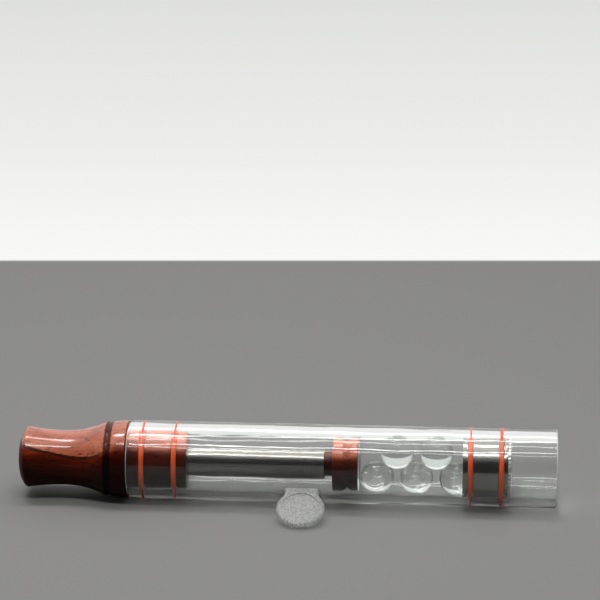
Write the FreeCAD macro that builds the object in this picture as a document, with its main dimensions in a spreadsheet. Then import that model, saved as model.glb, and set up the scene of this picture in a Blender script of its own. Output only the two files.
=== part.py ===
import FreeCAD, Part
import math
import os
import Sketcher

# A kaleidoscope lying on its side: a clear glass tube, a turned rosewood eyepiece that carries
# a steel mirror tube into it, five glass marbles in the cell, and a steel plug behind them.
# All lengths in mm. "From the rim" is measured along the axis from the tube's eyepiece end.

SIZES = {
    # frame: the origin is under the middle of the whole object, on the surface it lies on
    "rimAlong": -50.45,  # the tube's eyepiece rim, along X from the origin
    "axisSide": 6.64,  # the tube's axis, along Y from the origin
    "axisHeight": 12.5,  # the tube's axis above the surface
    # glass tube
    "tubeLength": 135.7,
    "tubeRadius": 12.5,
    "boreRadius": 9.6,
    "rimPolish": 1.3,  # fire-polished rounding of the eyepiece end
    "endPolish": 0.7,  # and of the open end
    "boreBevel": 0.6,
    "tubeTurn": 180.0,  # about its axis, so that the seam of its round faces lies underneath
    # roll stop: a pressed glass disc fused to the tube's flank
    "stopFromRim": 55.85,
    "stopRadius": 7.6,
    "stopCentre": 20.5,  # from the tube's axis to the disc's centre
    "stopThickness": 2.4,
    "stopNeckWidth": 10.6,
    "stopNeckCurve": 2.6,
    "stopRound": 0.9,
    "stopDishRadius": 5.9,
    "stopDishDepth": 0.3,
    "stopAngle": 65.5,  # degrees from straight down, towards -Y
    # eyepiece, turned from rosewood; lengths from its crest, which the eye meets
    "crestProjection": 34.8,  # from the crest to the tube's rim
    "crestRadius": 4.2,
    "eyeHoleRadius": 3.2,
    "lipDepth": 2.3,
    "lipRadius": 9.75,
    "lipRound": 0.6,
    "waistDepth": 14.3,
    "waistRadius": 8.7,
    "flareDepth": 27.7,
    "flareRadius": 11.85,
    "coveDepth": 29.7,  # where the cove ends and the collar starts
    "coveRadius": 1.6,
    "collarDepth": 34.5,
    "collarRearRadius": 11.8,
    "collarFrontRadius": 12.25,  # a little under the glass, so that the tube itself lies on the surface
    "collarCrown": 22.0,
    "spigotDepth": 53.9,
    "spigotRadius": 9.2,
    "spigotChamfer": 0.6,
    "lensSeatDepth": 7.0,
    # sealing rings, squeezed oval between groove and glass
    "ringHeight": 1.05,
    "ringWidth": 2.05,
    "ringBevel": 0.35,
    "ringGlassGap": 0.03,
    "ringGrooveGap": 0.03,
    "grooveWidth": 2.25,
    "eyepieceRingFromRim": 4.9,
    "eyepieceRingPitch": 10.27,
    "plugRingFromRim": 108.45,
    "plugRingPitch": 9.85,
    # eye lens and its spacer
    "lensRadius": 4.95,
    "lensEdge": 1.1,
    "lensThickness": 1.7,
    "spacerSeat": 1.4,  # from the lens's flat face to where its curve carries the spacer
    "spacerLength": 1.5,
    "spacerBore": 3.7,
    # steel mirror tube
    "mirrorTubeRadius": 5.0,
    "mirrorTubeBore": 4.0,
    "mirrorTubeFront": 62.5,  # its front end, from the rim
    "mirrorTubeChamfer": 0.2,
    "seatGap": 0.02,  # radial clearance of everything that is pushed in and stays
    # three mirror strips
    "mirrorWidth": 5.9,
    "mirrorThickness": 0.8,
    "mirrorFromAxis": 1.75,
    "mirrorEndGap": 0.2,
    # front bush, turned from rosewood
    "bushRearFromRim": 56.8,
    "bushShoulderFromRim": 65.1,
    "bushFrontFromRim": 73.2,
    "bushRadius": 8.5,
    "bushEdge": 0.4,
    "veeFromRim": 69.75,
    "veeDepth": 1.15,
    "veeHalfWidth": 1.4,
    "bushBore": 2.9,
    "bushMouth": 6.6,
    # cell window
    "windowThickness": 0.55,
    "windowRadius": 8.8,
    # marbles
    "marbleRadius": 5.24,
    "marbleWallGap": 0.12,
    "marbleTouchGap": 0.01,
    "firstMarbleFromRim": 79.02,
    # end plug
    "plugFromRim": 106.0,
    "plugLength": 14.2,
    "plugRadius": 9.4,
    "plugSeatGap": 0.15,  # from the last marble to the turned seat
    "plugBore": 6.9,
    "diffuserBore": 7.2,
    "diffuserDepth": 11.1,  # where the diffuser's shoulder is, from the plug's inner rim
    "plugChamfer": 0.25,
    "diffuserThickness": 0.8,
    # retaining ring with a milled edge
    "flangeRadius": 9.35,
    "flangeThickness": 0.85,
    "retainerBore": 6.2,
    "notchDepth": 0.35,
    "notchHalfWidth": 0.34,
}
MARBLE_COUNT = 5
MIRROR_COUNT = 3
NOTCH_COUNT = 48
GROOVES = 2

doc = FreeCAD.newDocument("Kaleidoscope")
subparts = []


def fillSheet():
    sheet = doc.addObject("Spreadsheet::Sheet", "Sizes")
    for row, (alias, value) in enumerate(SIZES.items(), start=1):
        sheet.set(f"A{row}", alias)
        sheet.set(f"B{row}", str(value))
        sheet.setAlias(f"B{row}", alias)
    doc.recompute()
    return sheet


sheet = fillSheet()


def size(expression):
    """An expression in the sheet's names, written out the way the document binds it."""
    words = sorted(SIZES, key=len, reverse=True)
    text, position = "", 0
    while position < len(expression):
        name = next((word for word in words if expression.startswith(word, position)), None)
        text += f"Sizes.{name}" if name else expression[position]
        position += len(name) if name else 1
    return text


def value(expression):
    return float(sheet.evalExpression(size(expression)))


def bind(thing, **properties):
    for path, expression in properties.items():
        thing.setExpression(path.replace("_", "."), size(expression))


def place(thing, fromRim="0", side="0", up="0"):
    """Put a sub-part on the tube's axis, so far along from the rim."""
    bind(
        thing,
        Placement_Base_x=f"rimAlong + ({fromRim})",
        Placement_Base_y=f"axisSide + ({side})",
        Placement_Base_z=f"axisHeight + ({up})",
    )


def subpart(thing, label):
    thing.Label = label
    subparts.append(thing)
    return thing


def newBody(label):
    return subpart(doc.addObject("PartDesign::Body", "Body_" + label), label)


def originPlane(body, role):
    return next(f for f in body.Origin.OriginFeatures if f.Role == role)


def newSketch(body, name, role="XZ_Plane"):
    """A sketch whose first axis is the tube's axis on the XZ plane."""
    sketch = body.newObject("Sketcher::SketchObject", name)
    sketch.AttachmentSupport = (originPlane(body, role), [""])
    sketch.MapMode = "FlatFace"
    return sketch


def arcBetween(start, end, radius, side):
    """The short arc from start to end; side is +1 when its centre is on the left."""
    chord = end - start
    across = FreeCAD.Vector(-chord.y, chord.x, 0).normalize()
    rise = math.sqrt(max(radius**2 - (chord.Length / 2) ** 2, 0))
    centre = start + chord * 0.5 + across * rise * side
    first, last = (start, end) if side > 0 else (end, start)
    angles = [math.atan2(p.y - centre.y, p.x - centre.x) for p in (first, last)]
    circle = Part.Circle(centre, FreeCAD.Vector(0, 0, 1), radius)
    return Part.ArcOfCircle(circle, angles[0], angles[1])


def hold(sketch, kind, geometry, expression, name):
    """A dimension of one curve, held to the sheet."""
    index = sketch.addConstraint(Sketcher.Constraint(kind, geometry, value(expression)))
    sketch.renameConstraint(index, name)
    sketch.setExpression("Constraints." + name, size(expression))


def pin(sketch, kind, geometry, point, expression, name):
    """Hold one coordinate of a corner to the sheet, or to the axis where it is zero."""
    if expression == "0":
        axis = -2 if kind == "DistanceX" else -1
        sketch.addConstraint(Sketcher.Constraint("PointOnObject", geometry, point, axis))
        return
    ends = (-1, 1, geometry, point)
    if value(expression) < 0:
        ends, expression = (geometry, point, -1, 1), f"-({expression})"
    index = sketch.addConstraint(Sketcher.Constraint(kind, *ends, value(expression)))
    sketch.renameConstraint(index, name)
    sketch.setExpression("Constraints." + name, size(expression))


def outline(sketch, corners):
    """Close a profile through corners (along, radius); a corner that also gives a curve
    (radius, side) starts an arc instead of a line."""
    points = [FreeCAD.Vector(value(c[0]), value(c[1]), 0) for c in corners]
    ends = []
    for index, corner in enumerate(corners):
        start, end = points[index], points[(index + 1) % len(points)]
        if len(corner) == 2:
            geometry = sketch.addGeometry(Part.LineSegment(start, end))
            ends.append((geometry, 1, 2))
            continue
        curve, side = corner[2], corner[3]
        geometry = sketch.addGeometry(arcBetween(start, end, value(curve), side))
        ends.append((geometry, 1, 2) if side > 0 else (geometry, 2, 1))
    for index, corner in enumerate(corners):
        geometry, first, _ = ends[index]
        before, _, last = ends[index - 1]
        sketch.addConstraint(Sketcher.Constraint("Coincident", before, last, geometry, first))
        pin(sketch, "DistanceX", geometry, first, corner[0], f"along{index}")
        pin(sketch, "DistanceY", geometry, first, corner[1], f"out{index}")
        if len(corner) == 4:
            hold(sketch, "Radius", geometry, corner[2], f"curve{index}")


def turn(body, name, corners, cut=False):
    """Revolve a profile about the tube's axis, adding material or cutting it away."""
    sketch = newSketch(body, name + "Profile")
    outline(sketch, corners)
    before = body.Shape.Volume if cut else 0
    feature = body.newObject("PartDesign::Groove" if cut else "PartDesign::Revolution", name)
    feature.Profile = sketch
    feature.ReferenceAxis = (sketch, ["H_Axis"])
    feature.Angle = 360
    doc.recompute()
    if cut and body.Shape.Volume >= before:
        raise RuntimeError(f"{name} cuts nothing")
    return feature


def circlesAt(body, along, radius):
    """Names of the body's circular edges at a place along its axis, with a radius."""
    found = []
    for index, edge in enumerate(body.Tip.Shape.Edges, start=1):
        circle = edge.Curve
        if not isinstance(circle, Part.Circle):
            continue
        there = abs(circle.Center.x - along) < 0.01
        if there and abs(circle.Radius - radius) < 0.01:
            found.append(f"Edge{index}")
    if not found:
        raise RuntimeError(f"no circle of radius {radius} at {along} on {body.Label}")
    return found


def soften(body, kind, name, sizeName, *circles):
    """Round or chamfer circular edges, each given as (along, radius)."""
    base, edges = body.Tip, []
    for along, radius in circles:
        edges += circlesAt(body, value(along), value(radius))
    feature = body.newObject("PartDesign::" + kind, name)
    feature.Base = (base, edges)
    bind(feature, **{"Radius" if kind == "Fillet" else "Size": sizeName})
    body.Tip = feature
    doc.recompute()
    return feature


def ringGrooves(body, centre, pitch):
    """Two grooves for sealing rings, the second a step further along."""
    floor = "boreRadius - ringGlassGap - ringHeight - ringGrooveGap"
    outside = "boreRadius"
    left, right = f"{centre} - grooveWidth / 2", f"{centre} + grooveWidth / 2"
    groove = turn(
        body,
        "RingGroove",
        [(left, floor), (right, floor), (right, outside), (left, outside)],
        cut=True,
    )
    before = body.Shape.Volume
    pattern = body.newObject("PartDesign::LinearPattern", "RingGrooves")
    pattern.Originals = [groove]
    pattern.Direction = (originPlane(body, "X_Axis"), [""])
    pattern.Occurrences = GROOVES
    bind(pattern, Length=pitch)
    body.Tip = pattern
    doc.recompute()
    if body.Shape.Volume >= before:
        raise RuntimeError("the second ring groove cuts nothing")


def glassTube():
    body = newBody("glass_tube")
    turn(
        body,
        "Wall",
        [
            ("0", "boreRadius"),
            ("tubeLength", "boreRadius"),
            ("tubeLength", "tubeRadius"),
            ("0", "tubeRadius"),
        ],
    )
    soften(body, "Fillet", "RimPolish", "rimPolish", ("0", "tubeRadius"))
    soften(body, "Fillet", "EndPolish", "endPolish", ("tubeLength", "tubeRadius"))
    mouths = [("0", "boreRadius"), ("tubeLength", "boreRadius")]
    soften(body, "Chamfer", "BoreBevels", "boreBevel", *mouths)
    place(body)
    bind(body, Placement_Rotation_Angle="tubeTurn")
    body.Placement.Rotation.Axis = FreeCAD.Vector(1, 0, 0)


def isRim(edge):
    """A curved edge of the pressed disc's two faces."""
    return isinstance(edge.Curve, Part.Circle) and abs(edge.Curve.Axis.y) > 0.5


def rollStop():
    """A pressed glass disc on a short neck, hollowed to the tube's flank where it is fused."""
    body = newBody("roll_stop")
    sketch = newSketch(body, "DiscOutline")
    both = "(stopRadius + stopNeckCurve)"
    apart = "(stopNeckWidth / 2 + stopNeckCurve)"
    drop = f"sqrt({both} ^ 2 - {apart} ^ 2)"
    root = f"stopCentre - {drop} - 0.8 * stopNeckCurve"
    rootHalf = "(stopNeckWidth / 2 + 0.4 * stopNeckCurve)"
    shoulder = f"stopCentre - {drop} * stopRadius / {both}"
    shoulderHalf = f"{apart} * stopRadius / {both}"
    outline(
        sketch,
        [
            (f"stopRadius - {rootHalf}", root),
            (f"stopRadius + {rootHalf}", root, "stopNeckCurve", -1),
            (f"stopRadius + {shoulderHalf}", shoulder, "stopRadius", 1),
            ("stopRadius * 2", "stopCentre", "stopRadius", 1),
            ("stopRadius", "stopCentre + stopRadius", "stopRadius", 1),
            ("0", "stopCentre", "stopRadius", 1),
            (f"stopRadius - {shoulderHalf}", shoulder, "stopNeckCurve", -1),
        ],
    )
    pad = body.newObject("PartDesign::Pad", "Disc")
    pad.Profile = sketch
    pad.Midplane = True
    bind(pad, Length="stopThickness")
    doc.recompute()
    rims = [f"Edge{n}" for n, edge in enumerate(pad.Shape.Edges, start=1) if isRim(edge)]
    rounding = body.newObject("PartDesign::Fillet", "Rounding")
    rounding.Base = (pad, rims)
    bind(rounding, Radius="stopRound")
    body.Tip = rounding
    doc.recompute()
    turn(
        body,
        "Flank",
        [
            ("-stopRadius", "0"),
            ("stopRadius * 3", "0"),
            ("stopRadius * 3", "tubeRadius"),
            ("-stopRadius", "tubeRadius"),
        ],
        cut=True,
    )
    dish = newSketch(body, "DishOutline")
    bind(dish, AttachmentOffset_Base_z="stopThickness / 2")
    centre = FreeCAD.Vector(value("stopRadius"), value("stopCentre"), 0)
    normal = FreeCAD.Vector(0, 0, 1)
    circle = dish.addGeometry(Part.Circle(centre, normal, value("stopDishRadius")))
    pin(dish, "DistanceX", circle, 3, "stopRadius", "along")
    pin(dish, "DistanceY", circle, 3, "stopCentre", "out")
    hold(dish, "Radius", circle, "stopDishRadius", "round")
    before = body.Shape.Volume
    pocket = body.newObject("PartDesign::Pocket", "Dish")
    pocket.Profile = dish
    bind(pocket, Length="stopDishDepth")
    doc.recompute()
    dishes = body.newObject("PartDesign::Mirrored", "Dishes")
    dishes.Originals = [pocket]
    dishes.MirrorPlane = (originPlane(body, "XZ_Plane"), [""])
    body.Tip = dishes
    doc.recompute()
    if before - body.Shape.Volume < 6 * value("stopDishDepth * stopDishRadius ^ 2"):
        raise RuntimeError("the roll stop's dishes are not both cut")
    place(body, "stopFromRim - stopRadius")
    bind(body, Placement_Rotation_Angle="180 - stopAngle")
    body.Placement.Rotation.Axis = FreeCAD.Vector(1, 0, 0)


def archRadius(run, rise):
    """The radius of an arc that leaves level and climbs by rise over run."""
    return f"((({run}) ^ 2 + ({rise}) ^ 2) / (2 * ({rise})))"


def eyepiece():
    """The turned eyepiece: eye hole, domed lip, waist, flare, cove, collar and spigot."""
    body = newBody("eyepiece")
    bore = "mirrorTubeRadius + seatGap"
    dome = archRadius("lipRadius - crestRadius", "lipDepth")
    waist = archRadius("waistDepth - lipDepth", "lipRadius - waistRadius")
    flare = archRadius("flareDepth - waistDepth", "flareRadius - waistRadius")
    turn(
        body,
        "Turning",
        [
            ("0", "crestRadius", dome, -1),
            ("lipDepth", "lipRadius", waist, 1),
            ("waistDepth", "waistRadius", flare, 1),
            ("flareDepth", "flareRadius", "coveRadius", 1),
            ("coveDepth", "collarRearRadius", "collarCrown", -1),
            ("collarDepth", "collarFrontRadius"),
            ("collarDepth", "spigotRadius"),
            ("spigotDepth", "spigotRadius"),
            ("spigotDepth", bore),
            ("lensSeatDepth", bore),
            ("lensSeatDepth", "eyeHoleRadius"),
            ("crestRadius - eyeHoleRadius", "eyeHoleRadius", "crestRadius - eyeHoleRadius", -1),
        ],
    )
    soften(body, "Fillet", "LipRounding", "lipRound", ("lipDepth", "lipRadius"))
    soften(body, "Chamfer", "SpigotLead", "spigotChamfer", ("spigotDepth", "spigotRadius"))
    ringGrooves(body, "crestProjection + eyepieceRingFromRim", "eyepieceRingPitch")
    place(body, "-crestProjection")


def sealingRing(label, fromRim):
    """A silicone ring squeezed between its groove and the glass."""
    body = newBody(label)
    outer = "boreRadius - ringGlassGap"
    inner = f"{outer} - ringHeight"
    turn(
        body,
        "Section",
        [
            ("ringBevel", inner),
            ("ringWidth - ringBevel", inner),
            ("ringWidth", f"{inner} + ringBevel"),
            ("ringWidth", f"{outer} - ringBevel"),
            ("ringWidth - ringBevel", outer),
            ("ringBevel", outer),
            ("0", f"{outer} - ringBevel"),
            ("0", f"{inner} + ringBevel"),
        ],
    )
    place(body, f"{fromRim} - ringWidth / 2")


def eyeLens():
    """Flat against its seat, domed towards the mirrors."""
    body = newBody("eye_lens")
    bulge = "lensThickness - lensEdge"
    curve = archRadius("lensRadius", bulge)
    turn(
        body,
        "Lens",
        [
            ("0", "0"),
            ("0", "lensRadius"),
            ("lensEdge", "lensRadius", curve, -1),
            ("lensThickness", "0"),
        ],
    )
    place(body, "lensSeatDepth - crestProjection")


def cylinder(name, radius, length):
    solid = doc.addObject("Part::Cylinder", name)
    solid.Placement.Rotation = FreeCAD.Rotation(FreeCAD.Vector(0, 1, 0), 90)
    bind(solid, Radius=radius, Height=length)
    return solid


def lensSpacer():
    outside = cylinder("SpacerOutside", "lensRadius", "spacerLength")
    inside = cylinder("SpacerInside", "spacerBore", "spacerLength")
    spacer = subpart(doc.addObject("Part::Cut", "Spacer"), "lens_spacer")
    spacer.Base, spacer.Tool = outside, inside
    place(spacer, "lensSeatDepth + spacerSeat - crestProjection")


MIRROR_TUBE_REAR = "(lensSeatDepth + spacerSeat + spacerLength - crestProjection)"


def mirrorTube():
    body = newBody("mirror_tube")
    length = f"mirrorTubeFront - {MIRROR_TUBE_REAR}"
    turn(
        body,
        "Wall",
        [
            ("0", "mirrorTubeBore"),
            (length, "mirrorTubeBore"),
            (length, "mirrorTubeRadius"),
            ("0", "mirrorTubeRadius"),
        ],
    )
    ends = [("0", "mirrorTubeRadius"), (length, "mirrorTubeRadius")]
    soften(body, "Chamfer", "Deburring", "mirrorTubeChamfer", *ends)
    place(body, MIRROR_TUBE_REAR)


def mirrorStrip(number):
    """One side of the mirror prism, its bright face towards the axis."""
    strip = subpart(doc.addObject("Part::Box", f"Mirror{number}"), f"mirror_{number}")
    angle = (number - 1) * 360 / MIRROR_COUNT
    bind(
        strip,
        Length=f"bushRearFromRim - {MIRROR_TUBE_REAR} - 2 * mirrorEndGap",
        Width="mirrorWidth",
        Height="mirrorThickness",
    )
    strip.Placement.Rotation = FreeCAD.Rotation(FreeCAD.Vector(1, 0, 0), angle)
    place(
        strip,
        f"{MIRROR_TUBE_REAR} + mirrorEndGap",
        f"-mirrorWidth / 2 * cos({angle}) - mirrorFromAxis * sin({angle})",
        f"-mirrorWidth / 2 * sin({angle}) + mirrorFromAxis * cos({angle})",
    )


def frontBush():
    """The turned bush plugged into the mirror tube, with a vee round its head."""
    body = newBody("front_bush")
    shank = "mirrorTubeBore - seatGap"
    shoulder = "bushShoulderFromRim - bushRearFromRim"
    front = "bushFrontFromRim - bushRearFromRim"
    vee = "veeFromRim - bushRearFromRim"
    turn(
        body,
        "Turning",
        [
            ("0", "bushBore"),
            ("0", shank),
            (shoulder, shank),
            (shoulder, "bushRadius"),
            (f"{vee} - veeHalfWidth", "bushRadius"),
            (vee, "bushRadius - veeDepth"),
            (f"{vee} + veeHalfWidth", "bushRadius"),
            (front, "bushRadius"),
            (front, "bushMouth"),
            (shoulder, "bushBore"),
        ],
    )
    soften(body, "Chamfer", "Edges", "bushEdge", (shoulder, "bushRadius"), (front, "bushRadius"))
    place(body, "bushRearFromRim")


def cellWindow():
    window = subpart(cylinder("Window", "windowRadius", "windowThickness"), "cell_window")
    place(window, "bushFrontFromRim")


MARBLE_OFFSET = "(boreRadius - marbleRadius - marbleWallGap)"
MARBLE_STEP = f"(2 * sqrt(marbleRadius ^ 2 - {MARBLE_OFFSET} ^ 2) + marbleTouchGap)"


def marble(number):
    """Marbles pack in a zigzag: odd ones lie below the axis, even ones ride above it."""
    ball = subpart(doc.addObject("Part::Sphere", f"Marble{number}"), f"marble_{number}")
    bind(ball, Radius="marbleRadius")
    below = "-" if number % 2 else ""
    place(ball, f"firstMarbleFromRim + {number - 1} * {MARBLE_STEP}", up=below + MARBLE_OFFSET)


def endPlug():
    """A steel sleeve with a seat turned to the last marble's curve and a diffuser's shoulder."""
    body = newBody("end_plug")
    seat = "(marbleRadius + plugSeatGap)"
    lastMarble = f"(firstMarbleFromRim + {MARBLE_COUNT - 1} * {MARBLE_STEP} - plugFromRim)"
    mouth = f"{MARBLE_OFFSET} + sqrt({seat} ^ 2 - {lastMarble} ^ 2)"
    throat = f"{lastMarble} + sqrt({seat} ^ 2 - (plugBore - {MARBLE_OFFSET}) ^ 2)"
    turn(
        body,
        "Turning",
        [
            ("0", mouth, seat, -1),
            (throat, "plugBore"),
            ("diffuserDepth", "plugBore"),
            ("diffuserDepth", "diffuserBore"),
            ("plugLength", "diffuserBore"),
            ("plugLength", "plugRadius"),
            ("0", "plugRadius"),
        ],
    )
    soften(body, "Chamfer", "Deburring", "plugChamfer", ("plugLength", "plugRadius"))
    ringGrooves(body, "plugRingFromRim - plugFromRim", "plugRingPitch")
    place(body, "plugFromRim")


def diffuser():
    disc = cylinder("Diffuser", "diffuserBore - seatGap", "diffuserThickness")
    place(subpart(disc, "diffuser"), "plugFromRim + diffuserDepth")


def retainingRing():
    """Holds the diffuser; its flange is milled all round for a finger grip."""
    body = newBody("retaining_ring")
    neck = "plugLength - diffuserDepth - diffuserThickness"
    turn(
        body,
        "Turning",
        [
            ("0", "retainerBore"),
            (f"{neck} + flangeThickness", "retainerBore"),
            (f"{neck} + flangeThickness", "flangeRadius"),
            (neck, "flangeRadius"),
            (neck, "diffuserBore - seatGap"),
            ("0", "diffuserBore - seatGap"),
        ],
    )
    sketch = newSketch(body, "NotchProfile", "YZ_Plane")
    outline(
        sketch,
        [
            ("-2 * notchHalfWidth", "flangeRadius + notchDepth"),
            ("0", "flangeRadius - notchDepth"),
            ("2 * notchHalfWidth", "flangeRadius + notchDepth"),
        ],
    )
    whole = body.Shape.Volume
    notch = body.newObject("PartDesign::Pocket", "Notch")
    notch.Profile = sketch
    notch.Reversed = True
    bind(notch, Length=f"{neck} + flangeThickness")
    doc.recompute()
    if body.Shape.Volume >= whole:
        raise RuntimeError("the notch cuts nothing")
    milling = body.newObject("PartDesign::PolarPattern", "Milling")
    milling.Originals = [notch]
    milling.Axis = (originPlane(body, "X_Axis"), [""])
    milling.Angle = 360
    milling.Occurrences = NOTCH_COUNT
    body.Tip = milling
    place(body, "plugFromRim + diffuserDepth + diffuserThickness")


def writeParts():
    doc.recompute()
    for thing in doc.Objects:
        if {"Invalid", "Error"} & set(thing.State):
            raise RuntimeError(f"{thing.Label} is {thing.State}")
    for thing in subparts:
        if thing.Shape.isNull() or not thing.Shape.isValid() or len(thing.Shape.Solids) != 1:
            raise RuntimeError(f"{thing.Label} is not one valid solid")
    os.makedirs("parts", exist_ok=True)
    for thing in subparts:
        thing.Shape.exportStep(f"parts/{thing.Label}.step")


glassTube()
rollStop()
eyepiece()
for number in range(GROOVES):
    sealingRing(f"eyepiece_ring_{number + 1}", f"eyepieceRingFromRim + {number} * eyepieceRingPitch")
    sealingRing(f"plug_ring_{number + 1}", f"plugRingFromRim + {number} * plugRingPitch")
eyeLens()
lensSpacer()
mirrorTube()
for number in range(MIRROR_COUNT):
    mirrorStrip(number + 1)
frontBush()
cellWindow()
for number in range(MARBLE_COUNT):
    marble(number + 1)
endPlug()
diffuser()
retainingRing()
writeParts()
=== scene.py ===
import bmesh
import bpy
import math
from mathutils import Matrix, Vector


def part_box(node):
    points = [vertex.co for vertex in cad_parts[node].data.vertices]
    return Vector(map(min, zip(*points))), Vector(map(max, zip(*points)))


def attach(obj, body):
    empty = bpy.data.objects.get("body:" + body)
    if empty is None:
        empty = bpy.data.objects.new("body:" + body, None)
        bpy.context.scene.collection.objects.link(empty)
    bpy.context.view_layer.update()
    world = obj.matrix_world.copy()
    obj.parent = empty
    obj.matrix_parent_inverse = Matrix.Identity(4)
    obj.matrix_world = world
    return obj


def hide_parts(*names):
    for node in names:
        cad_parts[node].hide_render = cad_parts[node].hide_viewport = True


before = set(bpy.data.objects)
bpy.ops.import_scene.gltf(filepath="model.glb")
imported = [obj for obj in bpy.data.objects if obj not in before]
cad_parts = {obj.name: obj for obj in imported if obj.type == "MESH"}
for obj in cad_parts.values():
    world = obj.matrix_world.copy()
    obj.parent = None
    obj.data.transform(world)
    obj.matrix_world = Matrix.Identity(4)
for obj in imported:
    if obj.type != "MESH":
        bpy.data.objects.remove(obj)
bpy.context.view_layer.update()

mm = 0.001
tubeLow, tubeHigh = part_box("glass_tube")
rimX = tubeLow[0]  # the tube's end at the eyepiece
axisY = (tubeLow[1] + tubeHigh[1]) / 2
axisZ = (tubeLow[2] + tubeHigh[2]) / 2
mergeGap = 1e-7  # closer points are one
cornerGap = 1e-6  # a point this near a named corner is that corner


def reach(node):
    # where a turned piece starts and ends along the axis, and its radius
    low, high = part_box(node)
    return low[0], high[0], (high[2] - low[2]) / 2


def corner(x, radius):
    return Vector((x, axisY, axisZ + radius))


def roundTo(profile, end, radius, side, steps):
    # carry a profile on to end along an arc; side is 1 when its centre is on the left
    start = Vector(profile[-1])
    end = Vector(end)
    chord = end - start
    across = Vector((-chord.y, chord.x)).normalized()
    rise = math.sqrt(max(radius ** 2 - (chord.length / 2) ** 2, 0))
    centre = start + chord / 2 + across * rise * side
    sweep = 2 * math.asin(min(chord.length / 2 / radius, 1)) * side
    first = start - centre
    for step in range(1, steps + 1):
        turned = Matrix.Rotation(sweep * step / steps, 2) @ first
        profile.append(tuple(centre + turned))
    profile[-1] = tuple(end)


def profileMesh(profile, closed=True):
    # a few vertices at (x, radius), joined by edges
    bm = bmesh.new()
    verts = [bm.verts.new(corner(x, radius)) for x, radius in profile]
    pairs = list(zip(verts, verts[1:]))
    if closed:
        pairs.append((verts[-1], verts[0]))
    for a, b in pairs:
        bm.edges.new((a, b))
    return bm


def softenCorners(bm, corners, width, segments):
    # round chosen corners of a profile before it is spun
    near = [v for v in bm.verts if any((v.co - spot).length < cornerGap for spot in corners)]
    bmesh.ops.bevel(
        bm, geom=near, offset=width, segments=segments, affect="VERTICES", profile=0.5,
        material=-1)


def spinProfile(bm, steps):
    bmesh.ops.spin(
        bm, geom=bm.verts[:] + bm.edges[:], cent=corner(0, 0), axis=(1, 0, 0),
        angle=math.tau, steps=steps, use_merge=True, use_duplicate=False)
    bmesh.ops.remove_doubles(bm, verts=bm.verts[:], dist=mergeGap)
    bmesh.ops.dissolve_degenerate(bm, dist=mergeGap, edges=bm.edges[:])
    bmesh.ops.recalc_face_normals(bm, faces=bm.faces[:])


def addPiece(name, bm, body, node, materials, smoothAngle=35):
    mesh = bpy.data.meshes.new(name)
    bm.to_mesh(mesh)
    bm.free()
    for material in materials:
        mesh.materials.append(material)
    mesh.shade_smooth()
    mesh.set_sharp_from_angle(angle=math.radians(smoothAngle))
    piece = bpy.data.objects.new(name, mesh)
    bpy.context.collection.objects.link(piece)
    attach(piece, body)
    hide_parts(node)


# materials: helpers first

def newMaterial(name):
    material = bpy.data.materials.new(name)
    material.use_nodes = True
    nodes, links = material.node_tree.nodes, material.node_tree.links
    return material, nodes, links, nodes["Principled BSDF"]


def setInputs(node, **values):
    for name, value in values.items():
        node.inputs[name.replace("_", " ")].default_value = value


def addRamp(nodes, links, factor, stops, interpolation="LINEAR"):
    ramp = nodes.new("ShaderNodeValToRGB")
    elements = ramp.color_ramp.elements
    while len(elements) < len(stops):
        elements.new(0.5)
    for element, (position, colour) in zip(elements, stops):
        element.position = position
        element.color = (*colour, 1)
    ramp.color_ramp.interpolation = interpolation
    links.new(factor, ramp.inputs["Fac"])
    return ramp.outputs["Color"]


def addRange(nodes, links, value, **limits):
    spread = nodes.new("ShaderNodeMapRange")
    setInputs(spread, **limits)
    links.new(value, spread.inputs["Value"])
    return spread.outputs["Result"]


def addNoise(nodes, links, mapping, **grain):
    # noise on the object's own coordinates, stretched, turned and moved by a mapping
    place = nodes.new("ShaderNodeTexCoord")
    stretch = nodes.new("ShaderNodeMapping")
    setInputs(stretch, **mapping)
    noise = nodes.new("ShaderNodeTexNoise")
    setInputs(noise, **grain)
    links.new(place.outputs["Object"], stretch.inputs["Vector"])
    links.new(stretch.outputs[0], noise.inputs["Vector"])
    return noise.outputs["Fac"]


def addMix(nodes, links, kind, factor, first, second):
    # factor, first and second are sockets or plain values
    mix = nodes.new("ShaderNodeMix")
    mix.data_type, mix.blend_type = "RGBA", kind
    for name, given in (("Factor", factor), ("A", first), ("B", second)):
        if isinstance(given, bpy.types.NodeSocket):
            links.new(given, mix.inputs[name])
        else:
            mix.inputs[name].default_value = given
    return mix.outputs["Result"]


def addMath(nodes, links, kind, *given):
    node = nodes.new("ShaderNodeMath")
    node.operation = kind
    for index, value in enumerate(given):
        if isinstance(value, bpy.types.NodeSocket):
            links.new(value, node.inputs[index])
        else:
            node.inputs[index].default_value = value
    return node.outputs[0]


def addBump(nodes, links, height, shader, strength, distance):
    bump = nodes.new("ShaderNodeBump")
    setInputs(bump, Strength=strength, Distance=distance)
    links.new(height, bump.inputs["Height"])
    links.new(bump.outputs["Normal"], shader.inputs["Normal"])


# the groups that several finishes share

def newGroup(name, inputs, outputs):
    group = bpy.data.node_groups.new(name, "ShaderNodeTree")
    for label, value in inputs.items():
        socket = group.interface.new_socket(
            label, in_out="INPUT", socket_type="NodeSocketFloat")
        socket.default_value = value
    for label in outputs:
        group.interface.new_socket(label, in_out="OUTPUT", socket_type="NodeSocketFloat")
    return group, group.nodes.new("NodeGroupInput"), group.nodes.new("NodeGroupOutput")


def placeGroup(nodes, group, **values):
    node = nodes.new("ShaderNodeGroup")
    node.node_tree = group
    setInputs(node, **values)
    return node


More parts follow.
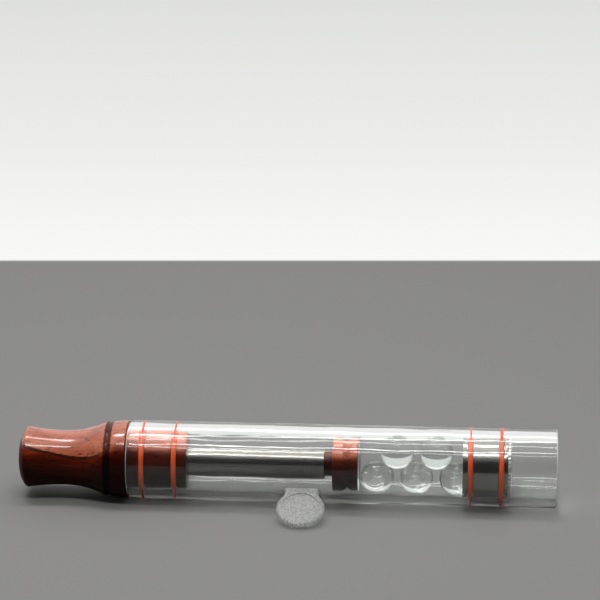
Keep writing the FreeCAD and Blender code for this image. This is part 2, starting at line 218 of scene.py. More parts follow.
def spreadNoise(group, given, out, noise, **limits):
    # the noise becomes a value between the group's Low and High
    spread = group.nodes.new("ShaderNodeMapRange")
    setInputs(spread, **limits)
    group.links.new(noise.outputs["Fac"], spread.inputs["Value"])
    group.links.new(given.outputs["Low"], spread.inputs["To Min"])
    group.links.new(given.outputs["High"], spread.inputs["To Max"])
    group.links.new(spread.outputs["Result"], out.inputs["Value"])


def buildDrawnLines():
    # long faint lines along the axis, as drawing and turning leave them
    group, given, out = newGroup(
        "drawn lines", dict(Along=2.0, Around=60.0, Low=0.1, High=0.2), ("Value", "Height"))
    nodes, links = group.nodes, group.links
    place = nodes.new("ShaderNodeTexCoord")
    stretch = nodes.new("ShaderNodeCombineXYZ")
    scaled = nodes.new("ShaderNodeVectorMath")
    scaled.operation = "MULTIPLY"
    noise = nodes.new("ShaderNodeTexNoise")
    setInputs(noise, Scale=100.0, Detail=5.0, Roughness=0.6)
    links.new(given.outputs["Along"], stretch.inputs[0])
    links.new(given.outputs["Around"], stretch.inputs[1])
    links.new(given.outputs["Around"], stretch.inputs[2])
    links.new(place.outputs["Object"], scaled.inputs[0])
    links.new(stretch.outputs[0], scaled.inputs[1])
    links.new(scaled.outputs[0], noise.inputs["Vector"])
    links.new(noise.outputs["Fac"], out.inputs["Height"])
    spreadNoise(group, given, out, noise, From_Min=0.3, From_Max=0.7)
    return group


def buildSmudges():
    # patchy film left by handling
    group, given, out = newGroup("smudges", dict(Scale=120.0, Low=0.0, High=0.05), ("Value",))
    nodes, links = group.nodes, group.links
    place = nodes.new("ShaderNodeTexCoord")
    noise = nodes.new("ShaderNodeTexNoise")
    setInputs(noise, Detail=6.0, Roughness=0.65, Distortion=0.8)
    links.new(place.outputs["Object"], noise.inputs["Vector"])
    links.new(given.outputs["Scale"], noise.inputs["Scale"])
    spreadNoise(group, given, out, noise, From_Min=0.45, From_Max=0.75)
    return group


drawnLines = buildDrawnLines()
smudges = buildSmudges()


# glass

def letShadowsThrough(nodes, links, shader, tint):
    # lamps light what is behind the glass, through this tint
    clear = nodes.new("ShaderNodeBsdfTransparent")
    clear.inputs["Color"].default_value = (*tint, 1)
    path = nodes.new("ShaderNodeLightPath")
    mix = nodes.new("ShaderNodeMixShader")
    links.new(path.outputs["Is Shadow Ray"], mix.inputs[0])
    links.new(shader.outputs[0], mix.inputs[1])
    links.new(clear.outputs[0], mix.inputs[2])
    links.new(mix.outputs[0], nodes["Material Output"].inputs["Surface"])


def makeGlass(
        name, colour, ior, roughness, film, shadowTint, wave=None, mottle=None, clear=1.0,
        shine=1.0):
    # film is how much rougher handling leaves it; wave is its uneven surface
    material, nodes, links, shader = newMaterial(name)
    setInputs(
        shader, Base_Color=(*colour, 1), IOR=ior, Transmission_Weight=clear,
        Roughness=roughness, Specular_Tint=(shine, shine, shine, 1))
    patches = placeGroup(nodes, smudges, Scale=90.0, Low=roughness, High=roughness + film)
    links.new(patches.outputs["Value"], shader.inputs["Roughness"])
    if wave:
        noise = addNoise(
            nodes, links, dict(Scale=wave["scale"]), Scale=1.0, Detail=wave["detail"],
            Roughness=0.5)
        addBump(nodes, links, noise, shader, wave["strength"], 0.4 * mm)
        if mottle:
            tone = addRamp(nodes, links, noise, [(0.35, mottle), (0.62, colour)])
            links.new(tone, shader.inputs["Base Color"])
    letShadowsThrough(nodes, links, shader, shadowTint)
    return material


tubeFinish = dict(
    colour=(0.955, 0.965, 0.95), ior=1.474, roughness=0.0, film=0.012, shine=0.85,
    wave=dict(scale=(62.0, 230.0, 230.0), detail=1.0, strength=0.3))
tubeGlass = makeGlass("clear tube glass", shadowTint=(0.9, 0.905, 0.9), **tubeFinish)
underGlass = makeGlass("tube glass underneath", shadowTint=(0.14, 0.142, 0.14), **tubeFinish)
# painted highlight: a milky, mostly opaque glass on each end of the tube, so the ends show as
# bright lines
rimHighlightGlass = makeGlass(
    "rim with painted highlight", colour=(0.97, 0.97, 0.96), ior=1.474, roughness=0.12, film=0.1,
    shadowTint=(0.8, 0.81, 0.8), clear=0.15)
stopGlass = makeGlass(
    "pressed glass", colour=(0.67, 0.68, 0.66), ior=1.474, roughness=0.3, film=0.2,
    shadowTint=(0.6, 0.61, 0.6), clear=0.6, mottle=(0.3, 0.305, 0.295),
    wave=dict(scale=(2000.0, 2000.0, 900.0), detail=3.0, strength=0.6))
marbleGlass = makeGlass(
    "marble glass", colour=(0.955, 0.995, 0.973), ior=1.52, roughness=0.0, film=0.01,
    shadowTint=(0.82, 0.84, 0.83))
windowGlass = makeGlass(
    "window glass", colour=(0.95, 0.985, 0.97), ior=1.52, roughness=0.0, film=0.02,
    shadowTint=(0.9, 0.93, 0.92))
frostedGlass = makeGlass(
    "frosted glass", colour=(0.93, 0.95, 0.94), ior=1.5, roughness=0.38, film=0.1,
    shadowTint=(0.7, 0.72, 0.71),
    wave=dict(scale=(2600.0, 2600.0, 2600.0), detail=3.0, strength=0.4))


# rosewood

rosewood = dict(
    growth=dict(Rotation=(0.0, math.radians(7), math.radians(5)), Scale=(9.0, 60.0, 60.0)),
    growthGrain=dict(Scale=2.4, Detail=4.0, Roughness=0.55, Distortion=1.2),
    fibre=dict(Scale=(60.0, 900.0, 900.0)),
    fibreGrain=dict(Scale=1.3, Detail=6.0, Roughness=0.7),
    pore=dict(Scale=(420.0, 1500.0, 1500.0)),
    poreGrain=dict(Scale=1.0, Detail=1.0, Roughness=0.4),
    red=[(0.32, (0.32, 0.06, 0.024)), (0.48, (0.53, 0.122, 0.055)),
         (0.68, (0.66, 0.2, 0.108))],
    # painted shade: the darker copy of the red wood, used below the shade edge
    dark=[(0.3, (0.1, 0.009, 0.002)), (0.5, (0.18, 0.018, 0.004)),
          (0.7, (0.27, 0.036, 0.008))],
    # colour of the dark line drawn along the painted shade edge
    darkEdgeLine=(0.03, 0.006, 0.003),
    # from lineBottom below the painted shade edge to lineTop above it: how dark the painted
    # shade gets, and the dark line along the edge
    lineBottom=-8.0 * mm, lineTop=2.0 * mm,
    fade=[(0.0, (0.1, 0.1, 0.1)), (0.4, (0.32, 0.3, 0.3)), (0.72, (1.0, 1.0, 1.0))],
    line=[(0.7, (0.0, 0.0, 0.0)), (0.74, (1.0, 1.0, 1.0)), (0.8, (1.0, 1.0, 1.0)),
          (0.83, (0.0, 0.0, 0.0))],
    softLine=2.0 * mm, crispLine=0.7 * mm, lineStrength=0.95,
    streaks=[(0.32, (0.55, 0.5, 0.48)), (0.5, (0.95, 0.95, 0.95)), (0.7, (1.1, 1.1, 1.1))],
    pores=[(0.3, (0.22, 0.16, 0.15)), (0.37, (1.0, 1.0, 1.0))],
    grainStrength=0.8,
    scorch=[(0.0, (1.0, 1.0, 1.0)), (0.14, (0.2, 0.14, 0.12)), (0.84, (0.2, 0.14, 0.12)),
            (1.0, (1.0, 1.0, 1.0))],
    # the first value is the coat weight in the painted shade, so that it reflects less
    paintedShadePolish=0.06, coatRoughness=0.14, specular=0.06, roughLow=0.3, roughHigh=0.44,
    tallest=10,  # mm, more than any height or softness of a painted shade edge
)


def makeRosewood(name, shadeEdge, shift=(0.0, 0.0, 0.0), burnt=None):
    # the grain runs along the axis it was turned on
    # painted shade: below an edge at a given height above the axis, the red wood turns into a
    # darker, shaded copy of itself with less coat, and a dark line runs along the edge
    material, nodes, links, shader = newMaterial(name)
    s = rosewood
    growth, fibre, pore = (
        addNoise(nodes, links, dict(Location=shift, **s[layer]), **s[layer + "Grain"])
        for layer in ("growth", "fibre", "pore"))
    place = nodes.new("ShaderNodeTexCoord")
    split = nodes.new("ShaderNodeSeparateXYZ")
    links.new(place.outputs["Object"], split.inputs[0])

    # height above the painted shade edge; its course and softness are given from end to end of
    # the piece
    along = addRange(
        nodes, links, split.outputs["X"], From_Min=shadeEdge["start"], From_Max=shadeEdge["end"])
    courses = []
    for values in (shadeEdge["heights"], shadeEdge["soft"]):
        stops = [(spot, (value / s["tallest"],) * 3) for spot, value in values]
        course = addRamp(nodes, links, along, stops, "B_SPLINE")
        courses.append(addMath(nodes, links, "MULTIPLY", course, s["tallest"] * mm))
    height, softness = courses
    rise = addMath(nodes, links, "ADD", height, axisZ)
    above = addMath(nodes, links, "SUBTRACT", split.outputs["Z"], rise)
    for texture, size in ((growth, shadeEdge["wander"]), (fibre, shadeEdge["ragged"])):
        wander = addMath(nodes, links, "MULTIPLY_ADD", texture, size, -0.5 * size)
        above = addMath(nodes, links, "ADD", above, wander)
    share = addMath(nodes, links, "DIVIDE", above, softness)
    # share of painted shade: 1 below the edge, 0 above it
    paintedShade = addRange(nodes, links, share, From_Min=0.0, From_Max=-1.0)
    depth = addRange(nodes, links, above, From_Min=s["lineBottom"], From_Max=s["lineTop"])
    # the painted shade deepens further below the edge, and a dark line follows the edge itself
    fade = addRamp(nodes, links, depth, s["fade"])
    line = addRamp(nodes, links, depth, s["line"])
    crisp = addRange(
        nodes, links, softness, From_Min=s["softLine"], From_Max=s["crispLine"],
        To_Max=s["lineStrength"])
    darkEdgeLine = addMath(nodes, links, "MULTIPLY", line, crisp)

    red = addRamp(nodes, links, growth, s["red"])
    # the darker copy of the red, for the painted shade
    dark = addRamp(nodes, links, growth, s["dark"])
    streaks = addRamp(nodes, links, fibre, s["streaks"])
    pores = addRamp(nodes, links, pore, s["pores"])
    colour = addMix(nodes, links, "MIX", paintedShade, red, dark)
    colour = addMix(nodes, links, "MULTIPLY", 1.0, colour, fade)
    colour = addMix(nodes, links, "MIX", darkEdgeLine, colour, (*s["darkEdgeLine"], 1))
    colour = addMix(nodes, links, "MULTIPLY", s["grainStrength"], colour, streaks)
    colour = addMix(nodes, links, "MULTIPLY", s["grainStrength"], colour, pores)
    # less coat where the painted shade is
    dull = (s["paintedShadePolish"],) * 3
    polish = addMix(nodes, links, "MIX", paintedShade, (1.0, 1.0, 1.0, 1), (*dull, 1))
    if burnt:
        # scorched black where a wire was held in the cove
        band = addRange(
            nodes, links, split.outputs["X"], From_Min=burnt[0], From_Max=burnt[1])
        scorch = addRamp(nodes, links, band, s["scorch"])
        colour = addMix(nodes, links, "MULTIPLY", 1.0, colour, scorch)
        polish = addMix(nodes, links, "MULTIPLY", 1.0, polish, scorch)
    links.new(colour, shader.inputs["Base Color"])
    links.new(polish, shader.inputs["Coat Weight"])
    film = placeGroup(nodes, smudges, Scale=160.0, Low=s["roughLow"], High=s["roughHigh"])
    links.new(film.outputs["Value"], shader.inputs["Roughness"])
    setInputs(shader, Coat_Roughness=s["coatRoughness"], Specular_IOR_Level=s["specular"])
    addBump(nodes, links, fibre, shader, strength=0.18, distance=0.08 * mm)
    return material


# where the painted shade starts on each wood piece: heights above the axis and softness in mm,
# each at a share of the way from start to end
eyepieceShadeEdge = dict(
    start=rimX - 35 * mm, end=rimX + 20 * mm, wander=1.6 * mm, ragged=0.9 * mm,
    heights=[(0.0, 7.4), (0.1, 5.9), (0.22, 4.0), (0.32, 3.1), (0.42, 3.5), (0.5, 5.2),
             (0.57, 9.6), (0.63, 9.6), (0.7, 7.9), (1.0, 7.7)],
    soft=[(0.0, 1.4), (0.08, 0.6), (0.49, 0.6), (0.55, 3.2), (1.0, 3.8)],
)
bushShadeEdge = dict(
    start=rimX + 55 * mm, end=rimX + 75 * mm, wander=2.0 * mm, ragged=1.6 * mm,
    heights=[(0.0, 6.7), (1.0, 7.3)], soft=[(0.0, 5.2), (1.0, 5.4)],
)
eyepieceWood = makeRosewood(
    "rosewood eyepiece", eyepieceShadeEdge, burnt=(rimX - 7.3 * mm, rimX - 4.6 * mm))
bushWood = makeRosewood("rosewood bush", bushShadeEdge, shift=(3.0, 7.0, 2.0))


# metal and rubber

def makeSteel(name, colour, low, high, along, around, bump):
    # drawn or turned: its lines are stretched along and around, its roughness is low to high
    material, nodes, links, shader = newMaterial(name)
    setInputs(shader, Base_Color=(*colour, 1), Metallic=1.0)
    lines = placeGroup(nodes, drawnLines, Along=along, Around=around, Low=low, High=high)
    links.new(lines.outputs["Value"], shader.inputs["Roughness"])
    addBump(nodes, links, lines.outputs["Height"], shader, bump, 0.02 * mm)
    return material


def makeSilicone(name, colour, dark):
    material, nodes, links, shader = newMaterial(name)
    place = nodes.new("ShaderNodeTexCoord")
    noise = nodes.new("ShaderNodeTexNoise")
    setInputs(noise, Scale=420.0, Detail=3.0)
    links.new(place.outputs["Object"], noise.inputs["Vector"])
    tone = addRamp(nodes, links, noise.outputs["Fac"], [(0.3, dark), (0.65, colour)])
    links.new(tone, shader.inputs["Base Color"])
    film = placeGroup(nodes, smudges, Scale=300.0, Low=0.32, High=0.5)
    links.new(film.outputs["Value"], shader.inputs["Roughness"])
    setInputs(
        shader, Subsurface_Weight=0.15, Subsurface_Scale=0.5 * mm,
        Subsurface_Radius=(1.0, 0.25, 0.1))
    return material


steelColour = (0.26, 0.254, 0.24)
tubeSteel = makeSteel(
    "drawn steel", steelColour, low=0.18, high=0.27, along=1.5, around=60.0, bump=0.06)
plugSteel = makeSteel(
    "turned steel", steelColour, low=0.12, high=0.2, along=60.0, around=3.0, bump=0.12)
milledSteel = makeSteel(
    "milled steel", (0.52, 0.51, 0.49), low=0.42, high=0.55, along=40.0, around=4.0, bump=0.3)
spacerBrass = makeSteel(
    "spacer brass", (0.62, 0.44, 0.18), low=0.25, high=0.4, along=40.0, around=4.0, bump=0.2)
mirrorSilver = makeSteel(
    "mirror silver", (0.88, 0.89, 0.9), low=0.01, high=0.03, along=2.0, around=20.0, bump=0.02)
siliconeOrange = makeSilicone(
    "orange silicone", colour=(0.66, 0.095, 0.016), dark=(0.58, 0.07, 0.01))
print("materials made")


# the glass tube, drawn smooth, with both ends fire-polished

tube = dict(
    bore=9.6 * mm, rimPolish=1.3 * mm, endPolish=0.7 * mm, borePolish=0.6 * mm,
    paintedRimHighlight=0.42 * mm,  # this much of each end gets a milky, mostly opaque finish: a painted highlight that shows as a bright rim
    underFrom=0.3,  # the underside starts this share of the radius below the axis
    steps=192,
)


def buildTube():
    x0, x1, radius = reach("glass_tube")
    s = tube
    bm = profileMesh([(x0, s["bore"]), (x1, s["bore"]), (x1, radius), (x0, radius)])
    softenCorners(bm, [corner(x0, radius)], s["rimPolish"], 10)
    softenCorners(bm, [corner(x1, radius)], s["endPolish"], 8)
    softenCorners(bm, [corner(x0, s["bore"]), corner(x1, s["bore"])], s["borePolish"], 8)
    spinProfile(bm, s["steps"])
    for face in bm.faces:
        middle = face.calc_center_median()
        # the ends get the painted highlight finish, the underside the glass with the darker
        # shadow
        if min(middle.x - x0, x1 - middle.x) < s["paintedRimHighlight"]:
            face.material_index = 2
        elif middle.z < axisZ - s["underFrom"] * radius:
            face.material_index = 1
    addPiece("glassTube", bm, "tube", "glass_tube", [tubeGlass, underGlass, rimHighlightGlass], 60)


buildTube()


# the five balls

marbleSettings = dict(count=5, detail=5)


def buildMarble(number):
    low, high = (Vector(v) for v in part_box(f"marble_{number}"))
    bm = bmesh.new()
    bmesh.ops.create_icosphere(
        bm, subdivisions=marbleSettings["detail"], radius=(high.x - low.x) / 2,
        matrix=Matrix.Translation((low + high) / 2))
    addPiece(f"marble{number}", bm, "marbles", f"marble_{number}", [marbleGlass], 180)


for number in range(1, marbleSettings["count"] + 1):
    buildMarble(number)


# the turned eyepiece

wood = dict(
    crestRadius=4.2 * mm, eyeHole=3.2 * mm, lipDepth=2.3 * mm, lipRadius=9.75 * mm,
    lipRound=0.6 * mm, waistDepth=14.3 * mm, waistRadius=8.7 * mm, flareDepth=27.7 * mm,
    flareRadius=11.85 * mm, coveDepth=29.7 * mm, coveRadius=1.6 * mm, collarDepth=34.5 * mm,
    collarRear=11.8 * mm, collarCrown=22.0 * mm, edge=0.15 * mm, spigotRadius=9.2 * mm,
    spigotLead=0.6 * mm, tubeBore=5.02 * mm, lensSeat=7.0 * mm, grooveFloor=8.49 * mm,
    grooveWidth=2.25 * mm, steps=144,
)


def arcRadius(along, rise):
    # radius of the arc that leaves level and rises so much over a length
    return (along ** 2 + rise ** 2) / (2 * rise)


def grooveNotches(rings, top, floor, width):
    # the outline of square grooves under these rings; a width below 0 runs it backwards
    points = []
    for ring in rings:
        start, end, _ = reach(ring)
        middle = (start + end) / 2
        left, right = middle - width / 2, middle + width / 2
        points += [(left, top), (left, floor), (right, floor), (right, top)]
    return points


def buildEyepiece():
    x0, x1, collarRadius = reach("eyepiece")
    s = wood
    lip = (x0 + s["lipDepth"], s["lipRadius"])
    flare = (x0 + s["flareDepth"], s["flareRadius"])
    cove = (x0 + s["coveDepth"], s["collarRear"])
    collar = (x0 + s["collarDepth"], collarRadius)
    crest = s["crestRadius"] - s["eyeHole"]
    lipArc = arcRadius(s["lipRadius"] - s["crestRadius"], s["lipDepth"])
    waistArc = arcRadius(s["waistDepth"] - s["lipDepth"], s["lipRadius"] - s["waistRadius"])
    flareArc = arcRadius(s["flareDepth"] - s["waistDepth"], s["flareRadius"] - s["waistRadius"])
    profile = [(x0 + crest, s["eyeHole"])]
    roundTo(profile, (x0, s["crestRadius"]), crest, -1, 8)
    roundTo(profile, lip, lipArc, -1, 12)
    roundTo(profile, (x0 + s["waistDepth"], s["waistRadius"]), waistArc, 1, 14)
    roundTo(profile, flare, flareArc, 1, 16)
    roundTo(profile, cove, s["coveRadius"], 1, 10)
    roundTo(profile, collar, s["collarCrown"], -1, 10)
    profile.append((x0 + s["collarDepth"], s["spigotRadius"]))
    profile += grooveNotches(
        ["eyepiece_ring_1", "eyepiece_ring_2"], s["spigotRadius"], s["grooveFloor"],
        s["grooveWidth"])
    profile += [
        (x1, s["spigotRadius"]), (x1, s["tubeBore"]), (x0 + s["lensSeat"], s["tubeBore"]),
        (x0 + s["lensSeat"], s["eyeHole"])]
    bm = profileMesh(profile)
    softenCorners(bm, [corner(*lip)], s["lipRound"], 5)
    softenCorners(bm, [corner(*flare), corner(*cove), corner(*collar)], s["edge"], 3)
    softenCorners(bm, [corner(x1, s["spigotRadius"])], s["spigotLead"], 4)
    spinProfile(bm, s["steps"])
    addPiece("eyepiece", bm, "eyepiece", "eyepiece", [eyepieceWood])


buildEyepiece()


# sealing rings: a narrow band of each is pressed against the glass

ringSettings = dict(
    height=1.05 * mm, pressed=0.02 * mm, inset=0.2 * mm, flat=0.25 * mm, steps=144,
    innerArc=0.6, outerArc=0.9,  # arc radii as shares of the height
    bands=dict(
        eyepiece_ring_1=0.6 * mm, eyepiece_ring_2=0.5 * mm, plug_ring_1=0.35 * mm,
        plug_ring_2=0.95 * mm),
    leaning=dict(plug_ring_2=0.2 * mm),  # how far one sits back in its groove
)


def buildRing(node, body):
    x0, x1, radius = reach(node)
    s = ringSettings
    lean = s["leaning"].get(node, 0)
    x0, x1 = x0 + s["inset"] - lean, x1 - s["inset"] - lean
    middle, band = (x0 + x1) / 2, s["bands"][node]
    outer = tube["bore"] + s["pressed"]
    inner = radius - s["height"]
    waist = (inner + outer) / 2
    innerArc, outerArc = s["height"] * s["innerArc"], s["height"] * s["outerArc"]
    profile = [(middle - s["flat"], inner), (middle + s["flat"], inner)]
    roundTo(profile, (x1, waist), innerArc, 1, 6)
    roundTo(profile, (middle + band / 2, outer), outerArc, 1, 6)
    profile.append((middle - band / 2, outer))
    roundTo(profile, (x0, waist), outerArc, 1, 6)
    roundTo(profile, (middle - s["flat"], inner), innerArc, 1, 6)
    profile.pop()
    bm = profileMesh(profile)
    spinProfile(bm, s["steps"])
    addPiece(node.replace("_", ""), bm, body, node, [siliconeOrange])


for node in ("eyepiece_ring_1", "eyepiece_ring_2"):
    buildRing(node, "eyepiece_rings")
for node in ("plug_ring_1", "plug_ring_2"):
    buildRing(node, "plug_rings")


# the steel mirror tube and the turned pieces at its front

steelSettings = dict(bore=4.0 * mm, deburr=0.2 * mm, steps=128)


def buildMirrorTube():
    x0, x1, radius = reach("mirror_tube")
    s = steelSettings
    bm = profileMesh([(x0, s["bore"]), (x1, s["bore"]), (x1, radius), (x0, radius)])
    softenCorners(bm, [corner(x0, radius), corner(x1, radius)], s["deburr"], 3)
    spinProfile(bm, s["steps"])
    addPiece("mirrorTube", bm, "eyepiece", "mirror_tube", [tubeSteel])


buildMirrorTube()

bushSettings = dict(
    shankLength=8.3 * mm, shankRadius=3.98 * mm, bore=2.9 * mm, mouth=6.6 * mm,
    veeAt=12.95 * mm, veeHalf=1.4 * mm, veeDepth=1.15 * mm, veeEdge=0.12 * mm,
    edge=0.4 * mm, steps=128,
)


def buildFrontBush():
    x0, x1, radius = reach("front_bush")
    s = bushSettings
    shoulder, vee = x0 + s["shankLength"], x0 + s["veeAt"]
    veeCorners = [
        (vee - s["veeHalf"], radius), (vee, radius - s["veeDepth"]),
        (vee + s["veeHalf"], radius)]
    bm = profileMesh([
        (x0, s["bore"]), (x0, s["shankRadius"]), (shoulder, s["shankRadius"]),
        (shoulder, radius), *veeCorners, (x1, radius), (x1, s["mouth"]),
        (shoulder, s["bore"])])
    softenCorners(bm, [corner(shoulder, radius), corner(x1, radius)], s["edge"], 4)
    softenCorners(bm, [corner(*spot) for spot in veeCorners], s["veeEdge"], 3)
    spinProfile(bm, s["steps"])
    addPiece("frontBush", bm, "eyepiece", "front_bush", [bushWood])


buildFrontBush()

discSettings = dict(windowEdge=0.12 * mm, diffuserEdge=0.1 * mm, steps=96)


def buildDisc(name, node, body, material, edge):
    # a flat disc with a softened edge
    x0, x1, radius = reach(node)
    bm = profileMesh([(x0, 0), (x0, radius), (x1, radius), (x1, 0)], closed=False)
    softenCorners(bm, [corner(x0, radius), corner(x1, radius)], edge, 3)
    spinProfile(bm, discSettings["steps"])
    addPiece(name, bm, body, node, [material])


buildDisc("cellWindow", "cell_window", "eyepiece", windowGlass, discSettings["windowEdge"])
buildDisc("diffuser", "diffuser", "end_plug", frostedGlass, discSettings["diffuserEdge"])


# the end plug and the milled ring on its face

plugSettings = dict(
    mouth=9.11 * mm, seatRadius=5.39 * mm, throat=2.38 * mm, bore=6.9 * mm,
    diffuserBore=7.2 * mm, diffuserDepth=11.1 * mm, deburr=0.25 * mm, grooveFloor=8.49 * mm,
    grooveWidth=2.25 * mm, steps=144,
)


def buildEndPlug():
    x0, x1, radius = reach("end_plug")
    s = plugSettings
    shoulder = x0 + s["diffuserDepth"]
    profile = [(x0, s["mouth"])]
    roundTo(profile, (x0 + s["throat"], s["bore"]), s["seatRadius"], -1, 8)
    profile += [
        (shoulder, s["bore"]), (shoulder, s["diffuserBore"]), (x1, s["diffuserBore"]),
        (x1, radius)]
    profile += grooveNotches(
        ["plug_ring_2", "plug_ring_1"], radius, s["grooveFloor"], -s["grooveWidth"])
    profile.append((x0, radius))
    bm = profileMesh(profile)
    softenCorners(bm, [corner(x1, radius)], s["deburr"], 3)
    spinProfile(bm, s["steps"])
    addPiece("endPlug", bm, "end_plug", "end_plug", [plugSteel])


buildEndPlug()

milledSettings = dict(
    bore=6.2 * mm, neckRadius=7.15 * mm, flangeThickness=0.85 * mm, notchDepth=0.42 * mm,
    edge=0.06 * mm, boreEdge=0.18 * mm, steps=192,
    notchEvery=4, notchFirst=2,  # in steps round the rim
)


def buildMilledRing():
    x0, x1, radius = reach("retaining_ring")
    s = milledSettings
    flange = x1 - s["flangeThickness"]
    bm = profileMesh([
        (x0, s["bore"]), (x0, s["neckRadius"]), (flange, s["neckRadius"]), (flange, radius),
        (x1, radius), (x1, s["bore"])])
    softenCorners(bm, [corner(x1, s["bore"])], s["boreEdge"], 3)
    softenCorners(bm, [corner(x1, radius), corner(flange, radius)], s["edge"], 2)
    spinProfile(bm, s["steps"])
    # the rim and its softened edges are pushed in at each notch
    pitch = math.tau / s["steps"]
    for vert in bm.verts:
        y, z = vert.co.y - axisY, vert.co.z - axisZ
        distance = math.hypot(y, z)
        place = round(math.atan2(z, y) / pitch)
        if distance > radius - 2 * s["edge"] and place % s["notchEvery"] == s["notchFirst"]:
            scale = (distance - s["notchDepth"]) / distance
            vert.co.y, vert.co.z = axisY + y * scale, axisZ + z * scale
    bmesh.ops.recalc_face_normals(bm, faces=bm.faces[:])
    addPiece("milledRing", bm, "end_plug", "retaining_ring", [milledSteel], 20)


buildMilledRing()


# CAD nodes that stay and only get a finish

keptFinishes = dict(
    roll_stop=stopGlass, lens_spacer=spacerBrass, eye_lens=windowGlass,
    mirror_1=mirrorSilver, mirror_2=mirrorSilver, mirror_3=mirrorSilver,
)
for node, material in keptFinishes.items():
    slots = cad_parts[node].data.materials
    for index in range(len(slots)):
        slots[index] = material
print("pieces made")


# floor, light and camera; a pale backdrop starts at farEdge and fades towards paleEnd

studio = dict(
    azimuth=3.83, floor=(0.242, 0.24, 0.236), floorRadius=6.0, floorSteps=96,
    farEdge=0.279, edgeBlend=0.004, paleEnd=0.89,
    pale=[(0.0, (0.945, 0.95, 0.93)), (0.35, (0.84, 0.845, 0.825)),
          (1.0, (0.735, 0.745, 0.715))],
    fill=0.09, fillColour=(1.0, 0.995, 0.985),
    backdrop=0.86, dimFront=0.05, dimAt=-0.35, brightAt=0.6, upShare=0.8,
)


def buildFloor():
    s = studio
    bm = bmesh.new()
    bmesh.ops.create_circle(
        bm, cap_ends=True, segments=s["floorSteps"], radius=s["floorRadius"])
    mesh = bpy.data.meshes.new("floor")
    bm.to_mesh(mesh)
    bm.free()
    material, nodes, links, shader = newMaterial("floor")
    setInputs(shader, Base_Color=(*s["floor"], 1), Roughness=0.9)
    place = nodes.new("ShaderNodeTexCoord")
    away = nodes.new("ShaderNodeVectorMath")
    away.operation = "DOT_PRODUCT"
    angle = math.radians(s["azimuth"])
    away.inputs[1].default_value = (-math.sin(angle), math.cos(angle), 0)
    links.new(place.outputs["Object"], away.inputs[0])
    far = nodes.new("ShaderNodeMapRange")
    far.interpolation_type = "SMOOTHSTEP"
    setInputs(far, From_Min=s["farEdge"], From_Max=s["farEdge"] + s["edgeBlend"])
    links.new(away.outputs["Value"], far.inputs["Value"])
    fade = addRange(
        nodes, links, away.outputs["Value"], From_Min=s["farEdge"], From_Max=s["paleEnd"])
    white = nodes.new("ShaderNodeEmission")
    links.new(addRamp(nodes, links, fade, s["pale"]), white.inputs["Color"])
    mix = nodes.new("ShaderNodeMixShader")
    links.new(far.outputs["Result"], mix.inputs[0])
    links.new(shader.outputs[0], mix.inputs[1])
    links.new(white.outputs[0], mix.inputs[2])
    links.new(mix.outputs[0], nodes["Material Output"].inputs["Surface"])
    mesh.materials.append(material)
    floor = bpy.data.objects.new("floor", mesh)
    bpy.context.collection.objects.link(floor)


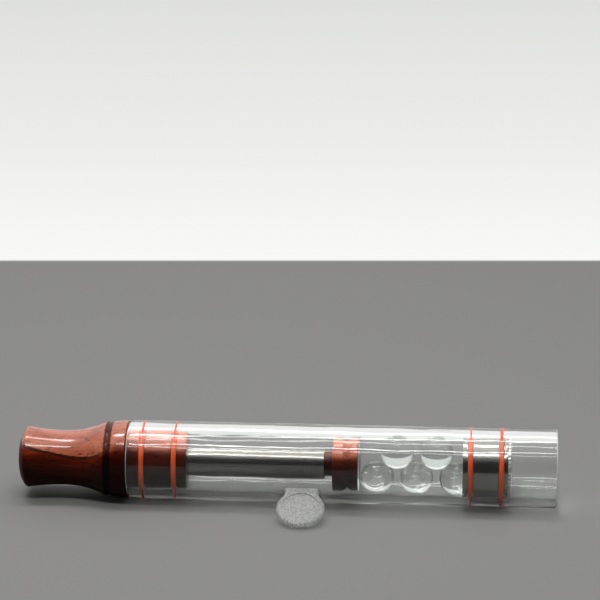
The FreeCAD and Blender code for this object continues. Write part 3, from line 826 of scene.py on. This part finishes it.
def buildWorld():
    # the camera sees white, metal and glass a backdrop that is bright behind and above,
    # and everything else is lit by a faint fill
    s = studio
    world = bpy.data.worlds.new("studio")
    bpy.context.scene.world = world
    world.use_nodes = True
    nodes, links = world.node_tree.nodes, world.node_tree.links
    seen = nodes["Background"]
    seen.inputs["Color"].default_value = (1, 1, 1, 1)
    lit = nodes.new("ShaderNodeBackground")
    setInputs(lit, Color=(*s["fillColour"], 1), Strength=s["fill"])
    place = nodes.new("ShaderNodeTexCoord")
    split = nodes.new("ShaderNodeSeparateXYZ")
    links.new(place.outputs["Generated"], split.inputs[0])
    height = addMath(
        nodes, links, "MULTIPLY_ADD", split.outputs["Z"], s["upShare"], split.outputs["Y"])
    behind = addRange(
        nodes, links, height, From_Min=s["dimAt"], From_Max=s["brightAt"],
        To_Min=s["dimFront"], To_Max=s["backdrop"])
    path = nodes.new("ShaderNodeLightPath")
    reflected = addMath(
        nodes, links, "MAXIMUM", path.outputs["Is Glossy Ray"],
        path.outputs["Is Transmission Ray"])
    strength = nodes.new("ShaderNodeMix")
    strength.data_type = "FLOAT"
    links.new(reflected, strength.inputs["Factor"])
    strength.inputs["A"].default_value = 1.0
    links.new(behind, strength.inputs["B"])
    links.new(strength.outputs["Result"], seen.inputs["Strength"])
    anySeen = addMath(nodes, links, "MAXIMUM", reflected, path.outputs["Is Camera Ray"])
    mix = nodes.new("ShaderNodeMixShader")
    links.new(anySeen, mix.inputs[0])
    links.new(lit.outputs[0], mix.inputs[1])
    links.new(seen.outputs[0], mix.inputs[2])
    links.new(mix.outputs[0], nodes["World Output"].inputs["Surface"])


lamps = dict(
    softbox=dict(place=(0.0, 0.31, 0.85), width=1.6, depth=1.56, power=5.2),
    strip=dict(place=(-0.03, 0.128, 0.81), width=0.6, depth=0.06, power=1.7),
    frontStrip=dict(place=(-0.03, -0.347, 0.743), width=0.6, depth=0.045, power=2.05),
    patch=dict(place=(-0.25, 0.08, 0.8), width=0.12, depth=0.2, power=0.75),
)


def addLamp(name, place, width, depth, power):
    # a rectangle of light aimed at the origin
    lamp = bpy.data.lights.new(name, "AREA")
    lamp.shape = "RECTANGLE"
    lamp.size, lamp.size_y = width, depth
    lamp.energy = power
    holder = bpy.data.objects.new(name, lamp)
    holder.location = place
    aim = Vector((0, 0, 0)) - Vector(place)
    holder.rotation_euler = aim.to_track_quat("-Z", "Y").to_euler()
    bpy.context.collection.objects.link(holder)


view = dict(
    elevation=17.0, distance=0.78, lens=150.4, sensor=36.0, clip=(0.05, 30),
    along=54.5 * mm, lift=54.0 * mm,  # the point looked at, from the rim and the axis
)


def buildCamera():
    s = view
    turn, tilt = math.radians(studio["azimuth"]), math.radians(s["elevation"])
    back = Vector((
        math.sin(turn) * math.cos(tilt), -math.cos(turn) * math.cos(tilt), math.sin(tilt)))
    target = Vector((rimX + s["along"], axisY, axisZ + s["lift"]))
    data = bpy.data.cameras.new("camera")
    data.lens = s["lens"]
    data.sensor_width = s["sensor"]
    data.clip_start, data.clip_end = s["clip"]
    camera = bpy.data.objects.new("camera", data)
    camera.location = target + back * s["distance"]
    camera.rotation_euler = (-back).to_track_quat("-Z", "Y").to_euler()
    bpy.context.collection.objects.link(camera)
    bpy.context.scene.camera = camera


buildFloor()
buildWorld()
for name, lamp in lamps.items():
    addLamp(name, **lamp)
buildCamera()
bpy.context.scene.view_settings.view_transform = "Standard"
print("studio made")
